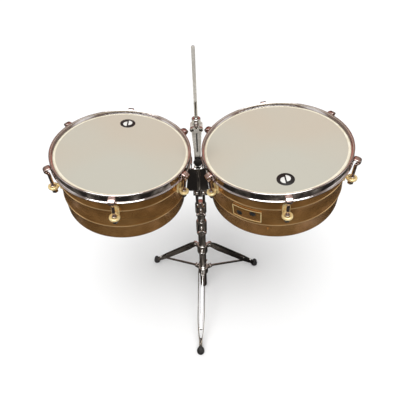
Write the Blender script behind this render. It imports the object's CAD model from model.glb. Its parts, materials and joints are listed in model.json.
"""Timbales on a folding stand: fine surfaces, materials, light and camera around the frame.

Every outline is in millimetres in the frame of the piece that it belongs to, and the mesh
is scaled to metres once, when its object is made. Places come from the frame's joints.
"""

import json
import math

import bmesh
import bpy
from mathutils import Matrix, Vector


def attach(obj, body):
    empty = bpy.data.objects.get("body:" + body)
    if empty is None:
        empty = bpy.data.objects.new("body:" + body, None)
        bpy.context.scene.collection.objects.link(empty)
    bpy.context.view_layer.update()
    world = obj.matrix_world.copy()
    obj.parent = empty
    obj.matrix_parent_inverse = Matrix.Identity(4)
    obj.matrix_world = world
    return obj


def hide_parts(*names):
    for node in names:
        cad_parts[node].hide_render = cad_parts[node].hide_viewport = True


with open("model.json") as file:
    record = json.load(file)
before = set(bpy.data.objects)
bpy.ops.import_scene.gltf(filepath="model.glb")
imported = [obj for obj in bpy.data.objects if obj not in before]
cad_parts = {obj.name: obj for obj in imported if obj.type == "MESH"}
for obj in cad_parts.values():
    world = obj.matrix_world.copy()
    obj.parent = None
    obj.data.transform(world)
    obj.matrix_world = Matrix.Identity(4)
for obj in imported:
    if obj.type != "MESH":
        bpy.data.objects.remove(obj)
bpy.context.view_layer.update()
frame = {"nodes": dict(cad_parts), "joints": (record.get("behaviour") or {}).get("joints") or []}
joints = {joint["name"]: joint for joint in frame["joints"]}

# ---- Driving dimensions, in millimetres --------------------------------------

MM = 0.001
HERE = Matrix.Identity(4)

# Drums: heights are measured down from the rim's top edge.
TENSION_POINTS = 6
HOOK_REACH = 17.5
EYE_HEIGHT = -66
EYE_BORE = 6.3
EYE_OUTSIDE = 13.4
FOOT_HALF_WIDTH = 9.5
FOOT_HALF_HEIGHT = 20
SHELL_BOTTOM = -177.2
SHELL_TOP = -10.6
SHELL_METAL = 1.2
BEAD_HEIGHTS = (-125, -62)
BEAD_WIDTH = 5.5
BEAD_RISE = 2.0
HEAD_TOP = -9.4
RIM_OUTSIDE = 7.6
RIM_METAL = 2.3
RIM_HEIGHT = 25.4
RIM_FLANGE = 3.3

# Stand: heights above the floor.
TUBE_RADIUS = 13.5
TUBE_BORE = 11.7
MAST_RADIUS = 11
MAST_BORE = 9
CLAMP_BOLT = 424
SOCKET_BOLT = 512
SOCKET_TOP = 536
LEG_END_IN = 6.7
LEG_END_HEIGHT = 20
BRACE_END_OUT = 213
BRACE_END_HEIGHT = 72
LEGS = ("front", "right", "left")

# Yoke: heights above the tilt pivot.
YOKE_BOTTOM = 33
YOKE_TOP = 118
YOKE_WALL = 3.5
YOKE_FRONT = -20
YOKE_HALF_ANGLE = 10.6
HANG_GAP = 5.5
CHEEK_MIDDLE = 10.65
ARM_BEND = 160
KNURL_TOP = 312
POST_RADIUS = 4.1

# Camera: the way it looks in radians, its place in millimetres and its lens.
CAMERA_YAW, CAMERA_PITCH, CAMERA_ROLL = -0.012, 0.756, -0.041
CAMERA_PLACE = (1.13, -651.09, 1176.97)
CAMERA_LENS = 26.01

SMOOTH_BELOW = 32  # degrees between faces that are shaded as one surface

DRUM_SIDES = 240
TUBE_SIDES = 64
BOLT_SIDES = 32

# ---- Frames ------------------------------------------------------------------


def frame_at(origin, x_axis, z_axis):
    """A frame with this origin in metres, and these two directions."""
    z = Vector(z_axis).normalized()
    x = Vector(x_axis)
    x = (x - z * z.dot(x)).normalized()
    result = Matrix((x, z.cross(x), z)).transposed().to_4x4()
    result.translation = Vector(origin)
    return result


def shift(x, y, z):
    """A move in millimetres, for points that are still in millimetres."""
    return Matrix.Translation((x, y, z))


def turn(degrees, axis="Z"):
    """A turn about one of the three axes."""
    return Matrix.Rotation(math.radians(degrees), 4, axis)


def heading(x, y):
    """The angle in degrees of a direction seen from above."""
    return math.degrees(math.atan2(y, x))


def box_in(node, base):
    """The lowest and highest corner of a CAD node in a frame, in millimetres."""
    back = base.inverted()
    points = [back @ v.co / MM for v in frame["nodes"][node].data.vertices]
    low = Vector(min(p[i] for p in points) for i in range(3))
    high = Vector(max(p[i] for p in points) for i in range(3))
    return low, high


def pivot(name):
    """A joint's pivot, in metres."""
    return Vector(joints[name]["pos_m"])


def joint_frame(name):
    """A frame on a joint's pivot, with Z along its axis."""
    return frame_at(pivot(name), (1, 0, 0), joints[name]["axis"])


TILT = pivot("drum_tilt")
STAND = Matrix.Translation((TILT.x, TILT.y, 0))
YOKE = frame_at(TILT, (1, 0, 0), joints["cowbell_post_slide"]["axis"])


def drum_frame(side):
    """A drum's frame, with its first lug on -Y and the rim's top edge at z = 0, and its radius."""
    nuts = [pivot(f"{side}_nut_{i + 1}_turn") for i in range(TENSION_POINTS)]
    up = Vector(joints[f"{side}_nut_1_turn"]["axis"])
    middle = sum(nuts, Vector()) / TENSION_POINTS
    first = nuts[0] - middle
    origin = middle - up * EYE_HEIGHT * MM
    return frame_at(origin, up.cross(first), up), first.length / MM - HOOK_REACH


# ---- Outlines ----------------------------------------------------------------


def arc(middle, radius, start, end, steps):
    """Points of an arc about a middle, between two angles in degrees."""
    angles = [math.radians(start + (end - start) * i / steps) for i in range(steps + 1)]
    return [(middle[0] + radius * math.cos(a), middle[1] + radius * math.sin(a)) for a in angles]


def rounded(points, radius, steps=4, closed=True):
    """An outline with its corners rounded. A third value in a point is its own radius."""
    result = []
    count = len(points)
    for i, point in enumerate(points):
        here = Vector(point[:2])
        size = point[2] if len(point) > 2 else radius
        if size <= 0 or (not closed and i in (0, count - 1)):
            result.append(tuple(here))
            continue
        back = Vector(points[i - 1][:2]) - here
        ahead = Vector(points[(i + 1) % count][:2]) - here
        half = back.angle(ahead) / 2
        reach = min(size / math.tan(half), back.length * 0.48, ahead.length * 0.48)
        if half > math.radians(88):
            result.append(tuple(here))
            continue
        back.normalize()
        ahead.normalize()
        middle = here + (back + ahead).normalized() * (reach / math.cos(half))
        start = here + back * reach - middle
        end = here + ahead * reach - middle
        swing = math.atan2(start.x * end.y - start.y * end.x, start.dot(end))
        first = math.atan2(start.y, start.x)
        result += arc(middle, start.length, math.degrees(first), math.degrees(first + swing), steps)
    return result


def inset(outline, distance):
    """A closed outline moved inward by a distance."""
    count = len(outline)
    corners = [Vector(p) for p in outline]
    area = sum(corners[i - 1].x * corners[i].y - corners[i].x * corners[i - 1].y for i in range(count))
    side = math.copysign(1, area)
    result = []
    for i, here in enumerate(corners):
        before = (here - corners[i - 1]).normalized()
        after = (corners[(i + 1) % count] - here).normalized()
        inward = Vector((-(before.y + after.y), before.x + after.x)) * side
        length = inward.length
        inward /= max(length, 1e-6)
        stretch = min(1 / max(length / 2, 0.35), 2)
        result.append(tuple(here + inward * distance * stretch))
    return result


def sheet_outline(path, thickness):
    """The closed outline of bent sheet metal whose middle follows a path."""
    points = [Vector(p) for p in path]
    outer, inner = [], []
    for i, here in enumerate(points):
        along = points[min(i + 1, len(points) - 1)] - points[max(i - 1, 0)]
        across = Vector((along.y, -along.x)).normalized() * (thickness / 2)
        outer.append(tuple(here + across))
        inner.append(tuple(here - across))
    return outer + inner[::-1]


def circle(sides):
    """Points of a circle of radius 1 about the origin."""
    return arc((0, 0), 1, 0, 360 - 360 / sides, sides - 1)


def hexagon(radius, corner):
    """A hexagon about the origin, with its corners rounded."""
    return rounded(arc((0, 0), radius, 0, 300, 5), corner, 3)


def stadium(half_width, half_height, steps=12):
    """An upright oval with straight sides."""
    rise = half_height - half_width
    return arc((0, rise), half_width, 0, 180, steps) + arc((0, -rise), half_width, 180, 360, steps)


def rectangle(x_low, y_low, x_high, y_high, corner):
    """A rectangle with its corners rounded."""
    return rounded([(x_low, y_low), (x_high, y_low), (x_high, y_high), (x_low, y_high)], corner)


def sector(inner, outer, start, end, steps=24):
    """An outline between two arcs about the origin."""
    return arc((0, 0), outer, start, end, steps) + arc((0, 0), inner, end, start, steps)


# ---- Mesh building -----------------------------------------------------------


def loft(bm, rings, closed=False, at=HERE, material=0):
    """Faces between rings of points. The ends are capped, or the last ring joins the first."""
    made = [[bm.verts.new(at @ Vector(point)) for point in ring] for ring in rings]
    pairs = list(zip(made, made[1:]))
    if closed:
        pairs.append((made[-1], made[0]))
    count = len(made[0])
    faces = []
    for low, high in pairs:
        for i in range(count):
            after = (i + 1) % count
            faces.append(bm.faces.new((low[i], low[after], high[after], high[i])))
    if not closed:
        faces.append(bm.faces.new(made[0][::-1]))
        faces.append(bm.faces.new(made[-1]))
    for face in faces:
        face.material_index = material


def turned(bm, profile, sides=TUBE_SIDES, hollow=False, at=HERE, material=0):
    """A profile of (radius, height) turned about Z. A hollow one is a closed outline."""
    ring = circle(sides)
    rings = [[(x * r, y * r, z) for x, y in ring] for r, z in profile]
    loft(bm, rings, hollow, at, material)


def prism(bm, outline, low, high, edge=0.5, at=HERE, material=0):
    """An outline pushed from z = low to z = high, with rounded edges."""
    steps = [(low, edge), (low + edge * 0.3, edge * 0.3), (low + edge, 0)]
    steps += [(high - edge, 0), (high - edge * 0.3, edge * 0.3), (high, edge)]
    rings = [[(x, y, z) for x, y in inset(outline, size)] for z, size in steps]
    loft(bm, rings, False, at, material)


def pipe(bm, inner, outer, low, high, edge=0.5, sides=TUBE_SIDES, at=HERE, material=0):
    """A round tube about Z."""
    profile = rounded([(inner, low), (outer, low), (outer, high), (inner, high)], edge, 3)
    turned(bm, profile, sides, True, at, material)


def pin(bm, radius, low, high, edge=0.5, sides=BOLT_SIDES, at=HERE, material=0):
    """A round pin about Z, with rounded ends."""
    profile = rounded([(0.05, low), (radius, low), (radius, high), (0.05, high)], edge, 3, False)
    turned(bm, profile, sides, False, at, material)


def block(bm, low, high, corner, edge, at=HERE):
    """A box between two corners, with rounded edges."""
    prism(bm, rectangle(*low[:2], *high[:2], corner), low[2], high[2], edge, at)


UPRIGHT = Matrix.Rotation(math.radians(90), 4, "X")  # an outline's Y becomes Z


def plate(bm, outline, width, edge=0.5, at=HERE, material=0):
    """An outline in the plane of X and Z, centred on Y = 0."""
    prism(bm, outline, -width / 2, width / 2, edge, at @ UPRIGHT, material)


def smooth_path(stations, steps):
    """Stations of several values each, with more between them on a smooth curve."""
    result = []
    last = len(stations) - 1
    for i in range(last):
        before, start, end, after = (stations[max(0, min(last, i + k))] for k in (-1, 0, 1, 2))
        for j in range(steps):
            t = j / steps
            result.append(tuple(
                0.5 * (2 * b + (c - a) * t + (2 * a - 5 * b + 4 * c - d) * t * t
                       + (3 * b - a - 3 * c + d) * t ** 3)
                for a, b, c, d in zip(before, start, end, after)
            ))
    return result + [tuple(stations[-1])]


def ribbon(bm, stations, steps=4, roundness=0.45, at=HERE):
    """A bar along stations of (x, z, width across Y, thickness), with rounded corners."""
    path = smooth_path(stations, steps)
    rings = []
    for i, (x, z, width, thickness) in enumerate(path):
        before = path[max(i - 1, 0)]
        after = path[min(i + 1, len(path) - 1)]
        line = Vector((after[0] - before[0], after[1] - before[1])).normalized()
        across = Vector((line.y, -line.x))
        corner = min(width, thickness) * roundness
        section = rectangle(-width / 2, -thickness / 2, width / 2, thickness / 2, corner)
        rings.append([(x + across.x * b, a, z + across.y * b) for a, b in section])
    loft(bm, rings, at=at)


def add_object(name, data, base=HERE):
    """A new object in the scene."""
    made = bpy.data.objects.new(name, data)
    bpy.context.scene.collection.objects.link(made)
    made.matrix_world = base
    return made


def make(name, bm, base, body, materials, replaces=()):
    """Turns built geometry into a smooth-shaded object that rides on a body."""
    bmesh.ops.recalc_face_normals(bm, faces=bm.faces)
    mesh = bpy.data.meshes.new(name)
    bm.to_mesh(mesh)
    bm.free()
    mesh.transform(Matrix.Scale(MM, 4))
    mesh.shade_smooth()
    mesh.set_sharp_from_angle(angle=math.radians(SMOOTH_BELOW))
    for material in materials if isinstance(materials, list) else [materials]:
        mesh.materials.append(material)
    piece = add_object(name, mesh, base)
    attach(piece, body)
    if replaces:
        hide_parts(*replaces)


# ---- Materials ---------------------------------------------------------------


class Nodes:
    """A node tree and short ways to add to it."""

    def __init__(self, tree):
        self.nodes = tree.nodes
        self.links = tree.links

    def add(self, kind, inputs=None, **settings):
        """A node whose inputs are sockets to link or plain values."""
        node = self.nodes.new(kind)
        for key, value in settings.items():
            setattr(node, key, value)
        for key, value in (inputs or {}).items():
            if isinstance(value, bpy.types.NodeSocket):
                self.links.new(value, node.inputs[key])
            else:
                node.inputs[key].default_value = value
        return node

    def mix(self, fac, start, end):
        """A colour that turns into another as a factor goes from 0 to 1."""
        return self.add("ShaderNodeMix", {0: fac, 6: start, 7: end}, data_type="RGBA").outputs[2]

    def colors(self, fac, *stops):
        """A ramp through (place, colour) stops."""
        ramp = self.add("ShaderNodeValToRGB", {"Fac": fac})
        elements = ramp.color_ramp.elements
        while len(elements) < len(stops):
            elements.new(0.5)
        for element, (at, color) in zip(elements, stops):
            element.position = at
            element.color = (*color, 1)
        return ramp.outputs["Color"]


class Shader(Nodes):
    """A Principled material and short ways to texture it."""

    def __init__(self, name, color, metallic, roughness, **constants):
        self.material = bpy.data.materials.new(name)
        self.material.use_nodes = True
        super().__init__(self.material.node_tree)
        self.shader = self.nodes["Principled BSDF"]
        self.shader.inputs["Base Color"].default_value = (*color, 1)
        self.shader.inputs["Metallic"].default_value = metallic
        self.shader.inputs["Roughness"].default_value = roughness
        for label, value in constants.items():
            self.shader.inputs[label.replace("_", " ")].default_value = value

    def coordinates(self):
        """Object coordinates, in metres."""
        return self.add("ShaderNodeTexCoord").outputs["Object"]

    def noise(self, scale, vector=None, detail=3, roughness=0.5):
        """A cloudy pattern from 0 to 1."""
        vector = vector or self.coordinates()
        inputs = {"Vector": vector, "Scale": scale, "Detail": detail, "Roughness": roughness}
        return self.add("ShaderNodeTexNoise", inputs).outputs["Fac"]

    def math(self, operation, a, b=0.0):
        """One step of arithmetic on a factor."""
        return self.add("ShaderNodeMath", {0: a, 1: b}, operation=operation).outputs[0]

    def between(self, fac, low, high):
        """A factor from 0 to 1 as a value from low to high."""
        inputs = {"Value": fac, "From Min": 0.3, "From Max": 0.7, "To Min": low, "To Max": high}
        return self.add("ShaderNodeMapRange", inputs).outputs["Result"]

    def bump(self, height, strength, distance):
        """A relief from a pattern. The distance is in metres."""
        inputs = {"Height": height, "Strength": strength, "Distance": distance}
        normal = self.add("ShaderNodeBump", inputs).outputs["Normal"]
        self.links.new(normal, self.shader.inputs["Normal"])

    def set(self, label, socket):
        """A link to one of the shader's own inputs."""
        self.links.new(socket, self.shader.inputs[label])

    def wear(self, pattern, stops, roughness):
        """A colour through (place, colour) stops and a roughness range that follow one pattern."""
        self.set("Base Color", self.colors(pattern, *stops))
        self.set("Roughness", self.between(pattern, *roughness))

    def around(self, turns, heights):
        """Coordinates that run round the local Z axis: slow around it, fast along it."""
        parts = self.add("ShaderNodeSeparateXYZ", {"Vector": self.coordinates()})
        angle = self.math("ARCTAN2", parts.outputs["Y"], parts.outputs["X"])
        inputs = {
            "X": self.math("MULTIPLY", angle, turns),
            "Y": self.math("MULTIPLY", parts.outputs["Z"], heights),
        }
        return self.add("ShaderNodeCombineXYZ", inputs).outputs["Vector"]


def bronze_material():
    """Aged bronze: brushed round the shell, cloudy with patina, worn bright along the beads."""
    s = Shader("aged_bronze", (0.50, 0.25, 0.075), 0.72, 0.26)
    clouds = s.noise(9, detail=5, roughness=0.62)
    brushed = s.noise(1, s.around(5, 1400), detail=4, roughness=0.7)
    mottled = s.math("ADD", s.math("MULTIPLY", clouds, 0.75), s.math("MULTIPLY", brushed, 0.25))
    patina = s.colors(
        mottled, (0.3, (0.36, 0.17, 0.048)), (0.5, (0.50, 0.25, 0.078)), (0.7, (0.66, 0.36, 0.13)))
    height = s.add("ShaderNodeSeparateXYZ", {"Vector": s.coordinates()}).outputs["Z"]
    worn = 0.0
    for crest in BEAD_HEIGHTS:
        away = s.math("ABSOLUTE", s.math("SUBTRACT", height, (crest + 0.8) * MM))
        line = s.math("SUBTRACT", 0.9, s.math("DIVIDE", away, 1.8 * MM))
        worn = s.math("ADD", s.math("MAXIMUM", line, 0.0), worn)
    s.set("Base Color", s.mix(worn, patina, (1.0, 0.74, 0.40, 1)))
    dull = s.math("ADD", s.math("MULTIPLY", clouds, 0.5), s.math("MULTIPLY", brushed, 0.5))
    s.set("Roughness", s.between(dull, 0.10, 0.24))
    s.bump(brushed, 0.12, 0.00008)
    return s.material


def chrome_material(name, tint, worn):
    """Polished chrome with faint handling haze and fine pits."""
    s = Shader(name, tint, 1.0, 0.08)
    haze = s.noise(45, detail=4, roughness=0.6)
    dark = tuple(c * 0.86 for c in tint)
    s.wear(haze, ((0.35, tint), (0.75, dark)), (0.035, worn))
    s.bump(s.noise(900, detail=2), 0.04, 0.00005)
    return s.material


def gold_material():
    """Polished gold plate, a little deeper in colour where it has worn."""
    s = Shader("lug_gold", (0.97, 0.76, 0.38), 0.32, 0.14)
    wear = s.noise(160, detail=4)
    s.wear(wear, ((0.35, (1.0, 0.84, 0.47)), (0.7, (0.92, 0.64, 0.26))), (0.09, 0.22))
    s.bump(s.noise(1500, detail=2), 0.05, 0.00005)
    return s.material


def drumhead_material():
    """A coated film: warm grey-white, with a faint grain and soft clouds from playing."""
    s = Shader("drumhead_film", (0.55, 0.50, 0.41), 0.0, 0.42, Specular_IOR_Level=0.4)
    clouds = s.noise(7, detail=4)
    grain = s.noise(1600, detail=2)
    tint = s.noise(2.4, detail=2)
    s.set("Base Color", s.colors(tint, (0.38, (0.555, 0.492, 0.40)), (0.62, (0.53, 0.51, 0.435))))
    s.set("Roughness", s.between(clouds, 0.36, 0.48))
    s.bump(grain, 0.10, 0.00006)
    return s.material


def collar_material():
    """The uncoated, creamier edge of the film."""
    s = Shader("drumhead_collar", (0.86, 0.80, 0.64), 0.0, 0.3)
    fade = s.noise(60, detail=3)
    s.wear(fade, ((0.3, (0.80, 0.72, 0.55)), (0.7, (0.92, 0.87, 0.72))), (0.24, 0.36))
    s.bump(fade, 0.05, 0.0001)
    return s.material


def rubber_material():
    """Dark moulded rubber, dusty in places."""
    s = Shader("foot_rubber", (0.02, 0.02, 0.02), 0.0, 0.62)
    dust = s.noise(70, detail=5)
    s.wear(dust, ((0.35, (0.012, 0.012, 0.013)), (0.75, (0.045, 0.042, 0.04))), (0.5, 0.75))
    s.bump(s.noise(700, detail=3), 0.25, 0.0002)
    return s.material


def ink_material(name, color):
    """Screen-printed ink on the film."""
    s = Shader(name, color, 0.0, 0.35)
    speckle = s.noise(1200, detail=3)
    thin = tuple(c * 0.9 + 0.01 for c in color)
    s.set("Base Color", s.colors(speckle, (0.4, color), (0.75, thin)))
    s.bump(speckle, 0.08, 0.00005)
    return s.material


def steel_material():
    """Zinc-plated steel for screw heads and inner nuts."""
    s = Shader("zinc_steel", (0.55, 0.55, 0.54), 1.0, 0.28)
    spots = s.noise(400, detail=4)
    s.wear(spots, ((0.35, (0.62, 0.61, 0.59)), (0.7, (0.42, 0.42, 0.42))), (0.2, 0.4))
    s.bump(spots, 0.06, 0.0001)
    return s.material


def satin_material():
    """Bead-blasted steel, paler and softer than chrome."""
    s = Shader("satin_steel", (0.74, 0.71, 0.65), 0.35, 0.3)
    cloud = s.noise(60, detail=4)
    s.wear(cloud, ((0.35, (0.80, 0.77, 0.71)), (0.7, (0.62, 0.59, 0.53))), (0.22, 0.38))
    s.bump(s.noise(1200, detail=2), 0.12, 0.00008)
    return s.material


BRONZE = bronze_material()
CHROME = chrome_material("drum_chrome", (0.84, 0.81, 0.80), 0.10)
CLAW_CHROME = chrome_material("claw_chrome", (0.88, 0.72, 0.68), 0.08)
STAND_CHROME = chrome_material("stand_chrome", (0.74, 0.73, 0.71), 0.12)
GOLD = gold_material()
FILM = drumhead_material()
COLLAR = collar_material()
RUBBER = rubber_material()
BLACK_INK = ink_material("black_ink", (0.012, 0.011, 0.011))
WHITE_INK = ink_material("white_ink", (0.85, 0.84, 0.80))
STEEL = steel_material()
SATIN = satin_material()
ARM_METALS = [SATIN, RUBBER, STAND_CHROME]

# ---- Drums -------------------------------------------------------------------


def drum_piece(side, part, bm, base, materials, slot, *nodes):
    """A piece that rides on a drum, in place of that drum's CAD nodes."""
    replaced = [f"{side}_{node}" for node in nodes]
    make(f"{side}_{part}", bm, base, f"{side}_drum", materials, replaced)


def bead(height, radius):
    """Points of a rounded ridge pressed outward in the shell's wall."""
    steps = 10
    result = []
    for i in range(steps + 1):
        place = i / steps * 2 - 1
        rise = BEAD_RISE * math.cos(place * math.pi / 2) ** 2
        result.append((radius + rise, height + place * BEAD_WIDTH / 2))
    return result


def add_shell(side, base, radius):
    """A shell of bent sheet with two beads, its lower edge turned in."""
    wall = radius - SHELL_METAL / 2
    path = [(wall - 7, SHELL_BOTTOM + 2.5), (wall - 4, SHELL_BOTTOM + 0.6)]
    path += arc((wall - 2.2, SHELL_BOTTOM + 2.8), 2.2, -90, 0, 5)
    for height in BEAD_HEIGHTS:
        path += bead(height, wall)
    path += [(wall, SHELL_TOP - 5), (wall - 0.5, SHELL_TOP - 3.2), (wall - 3, SHELL_TOP - 0.4)]
    bm = bmesh.new()
    turned(bm, sheet_outline(path, SHELL_METAL), DRUM_SIDES, True)
    drum_piece(side, "shell_skin", bm, base, BRONZE, "bronze", "shell")


def add_rim(side, base, radius):
    """A chromed hoop: rolled top edge, upright band, ledge over the head and flanged foot."""
    outside = radius + RIM_OUTSIDE
    inside = outside - RIM_METAL
    roll = 2.1
    middle = outside - roll + 0.3
    profile = arc((middle, -roll), roll, -55, 215, 14)
    profile += rounded([
        (inside, -9.2, 0), (inside, -9.9, 0.5), (radius + 1.4, -9.9, 0.5), (radius + 1.4, -11.7, 0.5),
        (inside, -11.7, 0.4), (inside, -RIM_HEIGHT, 0.9),
        (outside + RIM_FLANGE, -RIM_HEIGHT, 1.2), (outside + RIM_FLANGE, 3 - RIM_HEIGHT, 1.2),
        (outside - 0.3, 3.4 - RIM_HEIGHT, 0.8), (outside - 0.3, -5, 0),
    ], 0.5, 4, False)
    bm = bmesh.new()
    turned(bm, profile, DRUM_SIDES, True)
    drum_piece(side, "rim_hoop", bm, base, CHROME, "drum_chrome", "rim")


def add_head(side, base, radius):
    """The film, its collar over the shell's edge, and the flesh hoop under the rim's ledge."""
    bm = bmesh.new()
    flat = radius - 6
    top = [(0.5, HEAD_TOP), (flat * 0.5, HEAD_TOP), (flat, HEAD_TOP)]
    turned(bm, [(0.5, HEAD_TOP - 0.4), (flat, HEAD_TOP - 0.4)] + top[::-1], DRUM_SIDES)
    edge = [(flat, HEAD_TOP)] + arc((radius - 2.6, HEAD_TOP - 3.6), 3.6, 90, 0, 8)
    edge += [(radius + 1, -13.5)]
    turned(bm, sheet_outline(edge[::-1], 0.4), DRUM_SIDES, True, material=1)
    hoop = rounded([
        (radius + 0.3, -17.3), (radius + 4.9, -17.3), (radius + 4.9, -12.2), (radius + 0.3, -12.2),
    ], 1.2, 4)
    turned(bm, hoop, DRUM_SIDES, True, material=2)
    drum_piece(side, "head_film", bm, base, [FILM, COLLAR, STEEL], "drumhead", "head")


def add_emblem(side, base, middle, radius):
    """A plain printed mark: a dark disc with two pale half-discs that slip past each other."""
    bm = bmesh.new()
    at = shift(*middle, HEAD_TOP)
    turned(bm, [(0.3, 0.02), (radius, 0.02), (radius - 0.2, 0.12), (0.3, 0.12)], 64, at=at)
    size = radius * 0.5
    for start, across, slip in ((90, -1, -1), (-90, 1, 1)):
        centre = (across * radius * 0.09, slip * radius * 0.12)
        prism(bm, arc(centre, size, start, start + 180, 24), 0.1, 0.2, 0.03, at, 1)
    drum_piece(side, "head_emblem", bm, base, [BLACK_INK, WHITE_INK], "drumhead")


def add_lug(side, number, base, radius):
    """A cast lug at +X: an oval foot, screws through the shell, and an arm with a level eye."""
    bm = bmesh.new()
    outward = turn(90, "Y") @ turn(90)
    middle = EYE_HEIGHT + 7
    at = shift(0, 0, middle) @ outward
    steps = [(-1.5, 0), (2.2, 0), (3.2, 0.5), (3.9, 1.5), (3.8, 2.6), (2.7, 4), (1.9, 6), (1.7, 8)]
    rings = []
    for depth, size in steps:
        oval = stadium(FOOT_HALF_WIDTH - size, FOOT_HALF_HEIGHT - size)
        rings.append([(x, y, radius + depth) for x, y in oval])
    loft(bm, rings, at=at)
    ribbon(bm, [
        (radius + 1.5, EYE_HEIGHT + 3, 11, 12), (radius + 4, EYE_HEIGHT + 1.5, 10, 9),
        (radius + HOOK_REACH - 8.5, EYE_HEIGHT, 11, 7.4),
    ])
    eye = shift(radius + HOOK_REACH, 0, 0)
    pipe(bm, EYE_BORE, EYE_OUTSIDE, EYE_HEIGHT - 4, EYE_HEIGHT + 4, 3.2, 48, eye)
    screw = at @ shift(0, -13, radius)
    turned(bm, [(2.6, 1), (2.6, 2.6), (1.9, 3.3), (0.3, 3.6)], 24, at=screw, material=1)
    inner = at @ shift(0, 0, radius - SHELL_METAL)
    for height in (-11, 11):
        nut = [(6, 0), (6, -1.2), (3.6, -1.4), (3.6, -4), (0.5, -4.4)]
        turned(bm, nut, 24, at=inner @ shift(0, height, 0), material=1)
    drum_piece(side, f"lug_{number}", bm, base, [GOLD, STEEL], "lug_gold")


def threads(radius, low, high, pitch=1.25, depth=0.45):
    """A profile with the ridges of a screw thread."""
    count = int((high - low) / pitch)
    points = []
    for i in range(count):
        points += [(radius - depth, low + i * pitch), (radius, low + (i + 0.5) * pitch)]
    return [(0.3, low), *points, (0.3, low + count * pitch)]


def add_hook(side, number, base, r):
    """A forged claw that presses on the rim's foot, arches over and becomes the tension rod."""
    bm = bmesh.new()
    ribbon(bm, [
        (r + 9.4, 3.4 - RIM_HEIGHT, 12, 2.2), (r + 9.4, -15, 13.5, 2.4), (r + 9.6, -7.6, 16, 3),
        (r + 11.4, -3, 17.2, 3.4), (r + 15, -2.9, 17.2, 3.6), (r + 19, -3.6, 17.2, 3.9),
        (r + 23.6, -6.8, 16.2, 5.4), (r + 23.4, -11.8, 13.4, 6.8), (r + 20, -17.4, 10.4, 7.4),
        (r + 17.7, -23, 8.6, 7.9), (r + HOOK_REACH, -29, 8, 8), (r + HOOK_REACH, -34, 8, 8),
    ], 6, 0.47)
    stem = shift(r + HOOK_REACH, 0, 0)
    pin(bm, 4, -50, -32, 0.4, at=stem)
    turned(bm, threads(3.9, EYE_HEIGHT - 12, -49), 24, at=stem)
    node = f"tension_hook_{number}"
    drum_piece(side, f"hook_{number}", bm, base, CLAW_CHROME, "drum_chrome", node)


def add_nut(side, number):
    """A tension nut in its lug's eye: a collar, a long sleeve and a hexagon below."""
    name = f"{side}_nut_{number}"
    base = joint_frame(f"{name}_turn")
    bm = bmesh.new()
    sleeve = rounded([(4.3, -14), (5.6, -14), (5.6, 6, 1), (4.3, 6, 0.4)], 0.3, 3)
    turned(bm, sleeve, BOLT_SIDES, True)
    prism(bm, hexagon(8, 0.8), -17.4, -6.4, 0.8)
    turned(bm, [(0.5, -18), (6.2, -18), (6.8, -17.2), (0.5, -17.2)], BOLT_SIDES)
    pipe(bm, 5.2, 7.9, -6.6, -5, 0.5, BOLT_SIDES)
    make(f"{side}_nut_body_{number}", bm, base, name, CHROME,
         [f"{side}_tension_nut_{number}"])


def add_drum_bracket(side, base, radius):
    """The riveted plate that hangs a drum on the yoke's side wall by a hooked shelf."""
    low, high = box_in(f"{side}_drum_bracket", base)
    at = turn(heading(low.x + high.x, low.y + high.y))
    wall_top = high.z - 10
    lip = radius + HANG_GAP + YOKE_WALL + 2
    half, hook_half, edge = 6.5, 4.5, 0.6
    bm = bmesh.new()
    for inner, outer, angle, bottom, top in (
        (radius + 0.2, radius + 3.3, half, wall_top - 62, high.z),
        (radius + 2, lip + 3, hook_half, wall_top + 0.5, wall_top + 4.5),
        (lip, lip + 3, hook_half, wall_top - 14, wall_top + 4.5),
    ):
        prism(bm, sector(inner, outer, -angle, angle), bottom, top, edge, at)
    for angle in (-4.4, 4.4):
        for height in (wall_top - 54, wall_top - 10):
            spot = at @ turn(angle) @ shift(radius + 3, 0, height) @ turn(90, "Y")
            turned(bm, [(4, 0), (3.8, 0.7), (2.4, 1.4), (0.3, 1.6)], 24, at=spot)
    drum_piece(side, "hanger", bm, base, CHROME, "drum_chrome", "drum_bracket")


def add_vent(side, base, radius, angle, height):
    """A small riveted grommet in the shell's wall."""
    bm = bmesh.new()
    at = turn(angle) @ shift(radius, 0, height) @ turn(90, "Y")
    profile = rounded([(1.7, -1), (4, -1), (4, 0.4), (3.4, 1.1), (2.1, 1.1), (1.7, 0.4)], 0.3, 2)
    turned(bm, profile, 32, True, at)
    turned(bm, [(0.1, -0.6), (1.9, -0.6), (1.9, -0.2), (0.1, -0.2)], 24, at=at, material=1)
    drum_piece(side, f"vent_{-height}", bm, base, [BRONZE, RUBBER], "bronze")


def add_drum(side, emblem, vents):
    """A whole drum, with its six lugs, hooks and nuts."""
    base, radius = drum_frame(side)
    add_shell(side, base, radius)
    add_rim(side, base, radius)
    add_head(side, base, radius)
    add_emblem(side, base, *emblem)
    add_drum_bracket(side, base, radius)
    for angle, height in vents:
        add_vent(side, base, radius, angle, height)
    for i in range(TENSION_POINTS):
        spot = base @ turn(-90 + i * 360 / TENSION_POINTS)
        add_lug(side, i + 1, spot, radius)
        add_hook(side, i + 1, spot, radius)
        add_nut(side, i + 1)


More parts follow.
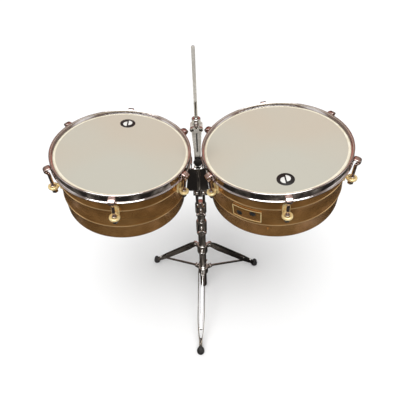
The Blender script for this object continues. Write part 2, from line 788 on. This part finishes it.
def add_badge():
    """A blank plate with a raised border and two plain studs, on the larger drum."""
    base, radius = drum_frame("right")
    low, high = box_in("badge_plate", base)
    half = 12
    at = turn(heading(low.x + high.x, low.y + high.y))
    bm = bmesh.new()
    prism(bm, sector(radius + 0.2, radius + 1.2, -half, half), low.z, high.z, 0.3, at)
    for bottom, top in ((low.z, low.z + 2), (high.z - 2, high.z)):
        prism(bm, sector(radius + 1, radius + 2, -half, half), bottom, top, 0.4, at, 2)
    for start in (-half, half - 0.6):
        prism(bm, sector(radius + 1, radius + 2, start, start + 0.6, 2), low.z, high.z, 0.3, at, 2)
    centre = (low.z + high.z) / 2
    for angle, height, size in ((-6, -3, 8), (5.2, 8, 8)):
        spot = at @ turn(angle) @ shift(radius + 1.1, 0, centre + height) @ turn(90, "Y")
        turned(bm, [(size, 0), (size, 0.5), (size - 1.5, 1), (0.3, 1)], 32, at=spot, material=1)
    make("badge", bm, base, "right_drum", [BRONZE, RUBBER, GOLD], ["badge_plate"])


# ---- Stand fittings ----------------------------------------------------------


def stand_piece(name, bm, base, body, node, materials=STAND_CHROME):
    """A piece of the stand in place of a CAD node, in stand chrome unless it says otherwise."""
    make(name, bm, base, body, materials, [node])


def cast_ring(bm, corner, *points):
    """A hollow casting about Z, with its corners rounded."""
    turned(bm, rounded(points, corner, 4), TUBE_SIDES, True)


def add_wing_bolt(which, shank):
    """A wing bolt along its joint's axis: two curved wings on a domed hub."""
    name = f"{which}_wing_bolt"
    bm = bmesh.new()
    turned(bm, threads(3, 0, shank), 24)
    top = shift(0, 0, shank)
    turned(bm, [
        (0.4, -0.2), (5.2, -0.2), (6, 0.8), (5.6, 5), (4.6, 8.5), (3, 9.6), (0.4, 9.8),
    ], BOLT_SIDES, at=top)
    wing = rounded([
        (2, 1.2, 0), (6, 1.2, 2), (13.8, 6.4, 3), (16, 12, 2), (13.6, 15.5, 2), (10, 13.6, 2.4),
        (6.5, 9, 3), (2, 8, 0),
    ], 1, 5)
    for half in (0, 180):
        plate(bm, wing, 3.6, 1.1, top @ turn(half))
    stand_piece(f"{name}_body", bm, joint_frame(f"{which}_bolt_turn"), name, name)


def leg_frame(name):
    """The stand's frame turned so that +X points out along a leg, and the leg's pivot."""
    hinge = pivot("tripod_fold" if name == "front" else f"{name}_leg_fold")
    away = hinge - TILT
    return STAND @ turn(heading(away.x, away.y)), hinge


def sloped(start, end):
    """A turn that takes +X from one (r, z) place toward another, and the distance."""
    slope = math.atan2(start[1] - end[1], end[0] - start[0])
    length = math.hypot(end[0] - start[0], end[1] - start[1])
    return shift(start[0], 0, start[1]) @ Matrix.Rotation(slope, 4, "Y"), length


def add_leg(name):
    """A leg of two flat bars that part below the collar and meet in the rubber foot."""
    base, hinge = leg_frame(name)
    start = base.inverted() @ hinge / MM
    low, high = box_in(f"{name}_foot", base)
    foot_out = (low.x + high.x) / 2
    at, length = sloped((start.x, start.z), (foot_out - LEG_END_IN, LEG_END_HEIGHT))
    bm = bmesh.new()
    near, far, width, metal = 5.5, 11.3, 16, 2.4
    spread = length * 0.7
    stations = [
        (-9, near), (14, near), (30, (near + far) / 2), (52, far), (spread * 0.7, far), (spread, far),
        (length - 52, near + 2), (length - 32, near - 0.6), (length, near - 0.6),
    ]
    flat = at @ turn(-90, "X")
    for mirror in (1, -1):
        ribbon(bm, [(x, y * mirror, width, metal) for x, y in stations], 6, 0.4, flat)
    block(bm, (length - 34, -3.9, -7), (length - 4, 3.9, 7), 1, 0.6, at)
    for side in (1, -1):
        turned(bm, [
            (3, -1), (3, near + 1.2), (5.4, near + 1.2), (5.2, near + 2.4), (3, near + 3.4),
            (0.4, near + 3.6),
        ], 28, at=at @ turn(-90 * side, "X"))
    stand_piece(f"{name}_leg_bars", bm, base, f"{name}_leg", f"{name}_leg")
    add_foot(name, base, foot_out)


def add_foot(name, base, foot_out):
    """A ribbed rubber boot."""
    profile = [
        (0.4, 0), (10.6, 0), (11.5, 0.6), (12.6, 2.2), (14, 4.4), (14, 7), (13.2, 7.8), (14, 8.6),
        (14, 11), (13, 12), (13.6, 13.2), (12.4, 18), (11, 24), (9.4, 29), (8.6, 31.5),
        (7.4, 33.2), (5, 33.8), (0.4, 34),
    ]
    bm = bmesh.new()
    turned(bm, profile, 48, at=shift(foot_out, 0, 0))
    make(f"{name}_boot", bm, base, f"{name}_leg", RUBBER, [f"{name}_foot"])


def add_brace(name):
    """A flat brace from the sliding hub to the middle of a leg, with a rivet at each end."""
    base = leg_frame(name)[0]
    start = base.inverted() @ pivot(f"{name}_brace_fold") / MM
    at, length = sloped((start.x, start.z), (BRACE_END_OUT, BRACE_END_HEIGHT))
    outline = arc((0, 0), 5, 90, 270, 12) + arc((length, 0), 5, 270, 450, 12)
    bm = bmesh.new()
    plate(bm, outline, 4.6, 0.7, at)
    for along, reach in ((0, 3.4), (length, 8)):
        for side in (90, -90):
            turned(bm, [
                (2.6, 1), (2.6, reach - 1), (3.6, reach - 1), (3.2, reach - 0.3), (0.4, reach),
            ], 24, at=at @ shift(along, 0, 0) @ turn(side, "X"))
    stand_piece(f"{name}_brace_bar", bm, base, f"{name}_brace", f"{name}_brace")


def leg_turns():
    """The angles, in the stand's frame, at which the legs point."""
    bases = [leg_frame(name)[0] for name in LEGS]
    return [heading(base[0][0], base[1][0]) for base in bases]


def add_collar():
    """The collar that the legs hinge on, with a tongue for each leg."""
    low, high = box_in("leg_collar", STAND)
    level = pivot("tripod_fold").z / MM
    bm = bmesh.new()
    outer = 19.5
    cast_ring(
        bm, 1, (TUBE_RADIUS + 0.2, low.z), (outer - 1.5, low.z), (outer, low.z + 4),
        (outer, high.z - 6), (outer - 2.5, high.z), (TUBE_RADIUS + 0.2, high.z))
    for angle in leg_turns():
        plate(bm, rectangle(16, level - 12, 39, level + 12, 5), 7.6, 0.9, turn(angle))
    stand_piece("collar_casting", bm, STAND, "base", "leg_collar")


def add_hub():
    """The sliding hub, forked for each brace, with a boss for its wing bolt."""
    low, high = box_in("brace_hub", STAND)
    level = pivot("front_brace_fold").z / MM
    bm = bmesh.new()
    outer = 20
    cast_ring(
        bm, 1, (TUBE_RADIUS + 0.3, low.z), (outer - 1, low.z), (outer, low.z + 2),
        (outer, high.z - 2), (outer - 1, high.z), (TUBE_RADIUS + 0.3, high.z))
    for angle in leg_turns():
        at = turn(angle)
        for side in (-4.6, 4.6):
            plate(bm, rectangle(17, level - 8, 39, level + 8, 4), 3, 0.7, at @ shift(0, side, 0))
        for side in (90, -90):
            spot = at @ shift(33, 0, level) @ turn(side, "X")
            turned(bm, [(2.4, -1), (2.4, 6.2), (4.2, 6.2), (3.8, 7.2), (0.4, 7.6)], 24, at=spot)
    bolt = pivot("hub_bolt_turn") - TILT
    boss = turn(heading(bolt.x, bolt.y)) @ shift(0, 0, level) @ turn(90, "Y")
    pipe(bm, 3.3, 7, 17, 29, 1, BOLT_SIDES, boss)
    stand_piece("hub_casting", bm, STAND, "hub", "brace_hub")


def add_base_tube():
    """The lower tube and the rubber plug in its end."""
    low, high = box_in("base_tube", STAND)
    bm = bmesh.new()
    pipe(bm, TUBE_BORE, TUBE_RADIUS, low.z, high.z, 0.6)
    stand_piece("base_tube_skin", bm, STAND, "base", "base_tube")
    low, high = box_in("tube_plug", STAND)
    bm = bmesh.new()
    top = high.z - 12
    turned(bm, rounded([
        (0.4, low.z), (TUBE_RADIUS, low.z, 1.6), (TUBE_RADIUS, top - 0.3, 0.3), (TUBE_BORE, top - 0.3),
        (TUBE_BORE - 0.3, high.z, 0.6), (0.4, high.z),
    ], 0.4, 4, False))
    make("tube_plug_cap", bm, STAND, "base", RUBBER, ["tube_plug"])


def bolt_boss(bm, height):
    """A round boss on the player's side of a clamp, with the mouth of its threaded hole."""
    pipe(bm, 3.3, 7.5, 12.5, 26, 1.2, BOLT_SIDES, shift(0, 0, height) @ turn(90, "X"))


def add_clamp():
    """The clamp on the base tube that grips the mast."""
    low, high = box_in("height_clamp", STAND)
    bm = bmesh.new()
    outer = 18.5
    cast_ring(
        bm, 1, (TUBE_RADIUS + 0.3, low.z, 0.5), (outer - 0.5, low.z, 0.8),
        (outer - 0.5, low.z + 6, 0.4), (outer - 1.6, low.z + 7.5, 0.4),
        (outer - 1.6, low.z + 14, 0.4), (outer, low.z + 16, 0.6), (outer, high.z - 9, 2),
        (outer - 2.5, high.z, 1.4), (MAST_RADIUS + 0.3, high.z, 0.5),
        (MAST_RADIUS + 0.3, high.z - 40, 0), (TUBE_RADIUS + 0.3, high.z - 41, 0))
    bolt_boss(bm, CLAMP_BOLT)
    stand_piece("height_clamp_casting", bm, STAND, "base", "height_clamp")


def add_mast():
    """The upper tube, and the lock ring that keeps its height."""
    low, high = box_in("upper_tube", STAND)
    bm = bmesh.new()
    pipe(bm, MAST_BORE, MAST_RADIUS, low.z, high.z, 0.5)
    stand_piece("mast_tube", bm, STAND, "mast", "upper_tube")
    low, high = box_in("memory_lock", STAND)
    bm = bmesh.new()
    cast_ring(
        bm, 0.5, (MAST_RADIUS + 0.2, low.z, 0.4), (13.5, low.z, 0.8), (13.5, low.z + 5, 0.6),
        (13, low.z + 6.5, 0.6), (15.3, high.z - 6, 0.8), (15.5, high.z, 1.2),
        (MAST_RADIUS + 0.2, high.z, 0.4))
    stand_piece("memory_lock_ring", bm, STAND, "mast", "memory_lock")


def add_tilter():
    """The cast socket on the mast, whose two cheeks hold the yoke's tongue."""
    low = box_in("tilter_socket", STAND)[0]
    top = SOCKET_TOP
    bm = bmesh.new()
    cast_ring(
        bm, 0.5, (MAST_RADIUS + 0.2, low.z, 0.4), (16, low.z, 1), (18.5, low.z + 5, 1.4),
        (18.5, top - 12, 1.4), (11, top - 0.5, 1.2), (0.4, top, 0), (0.4, top - 12, 0),
        (MAST_RADIUS + 0.2, top - 12, 0.3))
    cheek = [(-13, top - 16), (13, top - 16)] + arc((0, TILT.z / MM), 13, 0, 180, 24)
    for side in (-CHEEK_MIDDLE, CHEEK_MIDDLE):
        plate(bm, cheek, 8.7, 1.1, shift(side, 0, 0) @ turn(90))
    bolt_boss(bm, SOCKET_BOLT)
    stand_piece("tilter_casting", bm, STAND, "mast", "tilter_socket")


def add_tilt_bolt():
    """The hexagon-headed bolt that the yoke tilts on, and its nut."""
    low, high = box_in("tilt_bolt", YOKE)
    along_x = turn(90, "Y")
    bm = bmesh.new()
    prism(bm, hexagon(8.5, 0.8), low.x, low.x + 5.6, 0.8, along_x)
    turned(bm, threads(5, low.x + 5, high.x), BOLT_SIDES, at=along_x)
    pipe(bm, 4.8, 9.6, low.x + 5.2, low.x + 6.1, 0.3, BOLT_SIDES, along_x)
    stand_piece("tilt_bolt_body", bm, YOKE, "tilting_yoke", "tilt_bolt")
    low, high = box_in("tilt_nut", YOKE)
    bm = bmesh.new()
    prism(bm, hexagon(8.5, 0.8), low.x + 0.2, high.x, 0.9, along_x)
    pipe(bm, 5, 7.6, high.x - 1, high.x + 0.8, 0.6, BOLT_SIDES, along_x)
    stand_piece("tilt_nut_body", bm, YOKE, "tilt_nut", "tilt_nut")


# ---- Yoke and cowbell post ---------------------------------------------------


def wall_points(side, height, clearance, front, steps=20):
    """Points along a shell, level at a height in the yoke's frame, and out to the yoke's front."""
    base, radius = drum_frame(side)
    local = YOKE.inverted() @ base
    middle = local.translation / MM
    x_axis, y_axis, z_axis = (local.col[i].to_3d() for i in range(3))
    sign = -1 if side == "right" else 1
    result = []
    for i in range(steps + 1):
        angle = math.radians(YOKE_HALF_ANGLE * (1 - 2 * i / steps))
        spoke = x_axis * (math.cos(angle) * sign) + y_axis * math.sin(angle)
        point = middle + spoke * (radius + clearance)
        point += z_axis * ((height - point.z) / z_axis.z)
        result.append((point.x, point.y))
    return result[:-1] + [(result[-1][0], front)]


def yoke_outline(height):
    """The U-shaped outline of the yoke at a height."""
    outline = []
    for metal, sides in ((0, ("left", "right")), (YOKE_WALL, ("right", "left"))):
        first, second = (
            wall_points(side, height, HANG_GAP + metal, YOKE_FRONT + metal) for side in sides)
        outline += first + second[::-1]
    return outline


def add_yoke():
    """The folded-plate yoke: a U of curved walls, a floor, a tongue for the tilter and a tab."""
    high = box_in("yoke", YOKE)[1]
    bm = bmesh.new()
    rings = []
    edge = 0.7
    levels = ((YOKE_BOTTOM, edge), (YOKE_BOTTOM + edge, 0), (YOKE_TOP - edge, 0), (YOKE_TOP, edge))
    for height, size in levels:
        rings.append([(x, y, height) for x, y in inset(yoke_outline(height), size)])
    loft(bm, rings)
    block(bm, (-33, YOKE_FRONT + 1, YOKE_BOTTOM - 4), (21, 34, YOKE_BOTTOM + 2), 3, 0.8)
    tongue = [(13, YOKE_BOTTOM), (-13, YOKE_BOTTOM)] + arc((0, 0), 13, 180, 360, 24)
    plate(bm, tongue, 12, 1, turn(90))
    middle = sum(corner.x for corner in box_in("cowbell_arm_knob", YOKE)) / 2
    tab = rectangle(middle - 9, YOKE_TOP - 8, middle + 9, high.z, 5)
    plate(bm, tab, YOKE_WALL, edge, shift(0, YOKE_FRONT + YOKE_WALL / 2, 0))
    rib = rectangle(middle - 5, YOKE_BOTTOM + 3, middle + 5, YOKE_TOP - 4, 2)
    plate(bm, rib, 3.4, 1.2, shift(0, YOKE_FRONT - 0.4, 0))
    ledge = YOKE_TOP + 6
    lip = rounded([
        (YOKE_FRONT - 11, ledge - 1), (YOKE_FRONT + 1, ledge - 1), (YOKE_FRONT + 1, ledge + 6),
        (YOKE_FRONT - 10, ledge + 1.6),
    ], 0.8)
    plate(bm, lip, 23, 0.8, shift(middle, 0, 0) @ turn(90))
    stand_piece("yoke_plate", bm, YOKE, "tilting_yoke", "yoke")


def add_cowbell_arm():
    """The upright channel with the clamp that grips the cowbell post."""
    low, high = box_in("cowbell_arm", YOKE)
    x, y, _ = sum(box_in("cowbell_post", YOKE), Vector()) / 2
    bolt = (YOKE.inverted() @ pivot("post_bolt_turn")).z / MM
    shoulder, foot = bolt - 5.5, bolt - 19.5
    back = YOKE_FRONT + YOKE_WALL + 0.3
    narrow, wide, bend = 9, 12.5, ARM_BEND
    bm = bmesh.new()
    flat = shift(x, back + 4.6, 0)
    plate(bm, rounded([
        (-narrow, low.z), (narrow, low.z), (narrow, bend), (wide, foot + 4), (-wide, foot + 4),
        (-narrow, bend),
    ], 3), 4.4, 0.7, flat)
    for side in (1, -1):
        flank = rounded([
            (side * narrow, bend + 6), (side * (wide + 0.2), foot + 3), (side * (wide - 3), foot + 3),
            (side * (narrow - 3), bend + 6),
        ], 1)
        plate(bm, flank, 6.8, 0.8, shift(x, back + 3.5, 0))
    plate(bm, rectangle(-1.8, bend + 12, 1.8, foot - 6, 1.7), 4.8, 0.2, flat, 1)
    block(bm, (x - 15.5, back - 4, foot), (x + 15.5, y + 9, shoulder), 4, 1.6)
    for side in (1, -1):
        cheek = shift(x + side * 10.5, back - 1, (foot + shoulder) / 2) @ turn(90, "X")
        disc = [(6.4, -2), (6.4, 1.6), (5.4, 2.8), (3, 3.2), (0.4, 3.2)]
        turned(bm, disc, BOLT_SIDES, at=cheek, material=2)
    pipe(bm, POST_RADIUS + 0.2, 11, shoulder - 2, high.z, 2, 48, shift(x, y, 0), material=2)
    pipe(bm, 3.3, 7, 8, 17, 1.2, BOLT_SIDES, shift(x, y, bolt) @ turn(90, "X"), material=2)
    stand_piece("cowbell_arm_casting", bm, YOKE, "tilting_yoke", "cowbell_arm", ARM_METALS)


def add_knob():
    """The fluted knob that clamps the cowbell arm to the yoke's tab."""
    bm = bmesh.new()
    turned(bm, threads(3, 0, 15), 24)
    flutes, flute_depth, steps = 8, 0.8, 96
    outline = []
    for x, y in circle(steps):
        reach = 11.2 + flute_depth * math.cos(math.atan2(y, x) * flutes)
        outline.append((reach * x, reach * y))
    prism(bm, outline, 14, 22.6, 1.4, material=1)
    turned(bm, [(9, 21), (9, 23.6), (7.6, 24.6), (4, 25), (0.4, 25)], 48, material=1)
    stand_piece("arm_knob_body", bm, joint_frame("arm_knob_turn"), "cowbell_arm_knob",
                "cowbell_arm_knob", [STAND_CHROME, BLACK_INK])


def add_post():
    """The cowbell post, knurled where its clamp grips it."""
    low, high = box_in("cowbell_post", YOKE)
    x, y, _ = (low + high) / 2
    at = shift(x, y, 0)
    bm = bmesh.new()
    turned(bm, rounded([
        (0.4, KNURL_TOP - 1), (POST_RADIUS - 0.3, KNURL_TOP - 1), (POST_RADIUS - 0.2, high.z, 1.2),
        (0.4, high.z),
    ], 0.4, 5, False), 40, at=at)
    bottom, top = high.z - 0.2, high.z + 0.02
    turned(bm, [(0.3, bottom), (2.2, bottom), (2.2, top), (0.3, top)], 24, at=at, material=1)
    rings = []
    rows, sides, depth = 110, 48, 0.35
    for row in range(rows + 1):
        height = low.z + (KNURL_TOP - low.z) * row / rows
        ring = []
        for k, (a, b) in enumerate(circle(sides)):
            raised = (k + row) % 4 < 2 and (k - row) % 4 < 2
            radius = POST_RADIUS if raised else POST_RADIUS - depth
            ring.append((radius * a, radius * b, height))
        rings.append(ring)
    loft(bm, rings, at=at, material=2)
    stand_piece("cowbell_post_rod", bm, YOKE, "cowbell_post", "cowbell_post", ARM_METALS)


# ---- Stage, light and camera -------------------------------------------------


def add_floor():
    """A plain pale floor. Mirrors see it dark and patchy, as with flags around the light."""
    half = 60  # metres
    mesh = bpy.data.meshes.new("floor")
    corners = [(-half, -half, 0), (half, -half, 0), (half, half, 0), (-half, half, 0)]
    mesh.from_pydata(corners, [], [(0, 1, 2, 3)])
    paint = (0.93, 0.93, 0.93)
    s = Shader("floor_paint", paint, 0.0, 0.9, Specular_IOR_Level=0.1)
    patches = s.noise(2.2, detail=4, roughness=0.6)
    mirrored = s.colors(
        patches, (0.44, (0.012, 0.010, 0.009)), (0.56, (0.07, 0.06, 0.05)), (0.70, (0.30, 0.27, 0.25)))
    glossy = s.add("ShaderNodeLightPath").outputs["Is Glossy Ray"]
    s.set("Base Color", s.mix(glossy, (*paint, 1), mirrored))
    mesh.materials.append(s.material)
    add_object("floor", mesh)


# What mirrors see in the sky: direction, squeeze sideways, size, light.
PANELS = (
    ((0.0, -0.85, 0.5), 0.7, 0.38, (0.07, 0.055, 0.05)),
    ((0.0, 0.94, 0.3), 0.6, 0.32, (0.13, 0.05, 0.04)),
    ((0.0, 0.74, 0.67), 0.5, 0.15, (0.52, 0.19, 0.15)),
    ((0.0, -0.98, 0.17), 0.35, 0.1, (1.3, 1.15, 0.95)),
    ((-0.86, -0.2, 0.5), 0.7, 0.26, (1.0, 1.0, 1.0)),
    ((0.86, -0.2, 0.5), 0.7, 0.26, (1.0, 1.0, 1.0)),
    ((0.0, 0.25, 0.97), 0.6, 0.14, (1.25, 1.25, 1.2)),
    ((0.0, -0.35, 0.93), 1, 0.12, (1.25, 1.25, 1.2)),
)
# The walls' colour by height, from the floor line up to the ceiling.
WALLS = (
    (0.0, (0.20, 0.17, 0.155)), (0.4, (0.17, 0.14, 0.125)), (0.56, (0.27, 0.20, 0.17)),
    (0.75, (0.40, 0.30, 0.26)), (1.0, (0.40, 0.35, 0.32)),
)


def add_sky():
    """White behind the picture, soft light from all round, and warm walls in reflections."""
    world = bpy.data.worlds.new("studio")
    world.use_nodes = True
    sky = Nodes(world.node_tree)
    toward = sky.add("ShaderNodeTexCoord").outputs["Generated"]
    height = sky.add("ShaderNodeSeparateXYZ", {"Vector": toward}).outputs["Z"]
    mirrored = sky.colors(height, *WALLS)
    for middle, width, size, glow in PANELS:
        squeeze = (width, 1, 1)
        near = sky.add("ShaderNodeVectorMath", {0: toward, 1: squeeze}, operation="MULTIPLY")
        spot = tuple(m * w for m, w in zip(middle, squeeze))
        ends = {0: near.outputs["Vector"], 1: spot}
        away = sky.add("ShaderNodeVectorMath", ends, operation="DISTANCE")
        edge = sky.add("ShaderNodeMapRange", {
            "Value": away.outputs["Value"], "From Min": size * 0.75, "From Max": size * 1.3,
            "To Min": 1.0, "To Max": 0.0})
        mirrored = sky.mix(edge.outputs["Result"], mirrored, (*glow, 1))
    rays = sky.add("ShaderNodeLightPath").outputs
    lit = sky.mix(rays["Is Glossy Ray"], (0.45, 0.45, 0.45, 1), mirrored)
    seen = sky.mix(rays["Is Camera Ray"], lit, (1, 1, 1, 1))
    sky.links.new(seen, sky.nodes["Background"].inputs["Color"])
    bpy.context.scene.world = world


def add_key_light():
    """One very soft light, high on the player's side."""
    data = bpy.data.lights.new("key", "SUN")
    data.energy = 2.4
    data.angle = math.radians(50)
    lamp = add_object("key", data)
    lamp.rotation_euler = Vector((0.05, 0.33, -0.95)).to_track_quat("-Z", "Y").to_euler()


def add_camera():
    """The camera stands before the player's side and looks down at the heads."""
    yaw, pitch, roll = CAMERA_YAW, CAMERA_PITCH, CAMERA_ROLL
    forward = Vector((
        math.sin(yaw) * math.cos(pitch), math.cos(yaw) * math.cos(pitch), -math.sin(pitch)))
    level = Vector((math.cos(yaw), -math.sin(yaw), 0))
    up = level.cross(forward)
    right = level * math.cos(roll) + up * math.sin(roll)
    top = up * math.cos(roll) - level * math.sin(roll)
    placed = Matrix((right, top, -forward)).transposed().to_4x4()
    placed.translation = Vector(CAMERA_PLACE) * MM
    data = bpy.data.cameras.new("camera")
    data.lens = CAMERA_LENS
    data.sensor_width = 36
    data.clip_start = 0.01
    bpy.context.scene.camera = add_object("camera", data, placed)


# ---- The whole picture -------------------------------------------------------

add_camera()
add_drum("left", ((-2.4, 124.2), 22.5), [(-73.5, -125), (-75.5, -64)])
add_drum("right", ((5, -140.5), 21.5), [(-102.5, -141)])
add_badge()
add_base_tube()
add_collar()
add_hub()
add_clamp()
add_mast()
add_tilter()
add_tilt_bolt()
add_yoke()
add_cowbell_arm()
add_knob()
add_post()
for bolt, bolt_shank in (("hub", 16), ("height", 16), ("socket", 16), ("post", 13)):
    add_wing_bolt(bolt, bolt_shank)
for leg_name in LEGS:
    add_leg(leg_name)
    add_brace(leg_name)
add_floor()
add_sky()
add_key_light()

bpy.context.scene.view_settings.view_transform = "Standard"
bpy.context.scene.view_settings.look = "None"
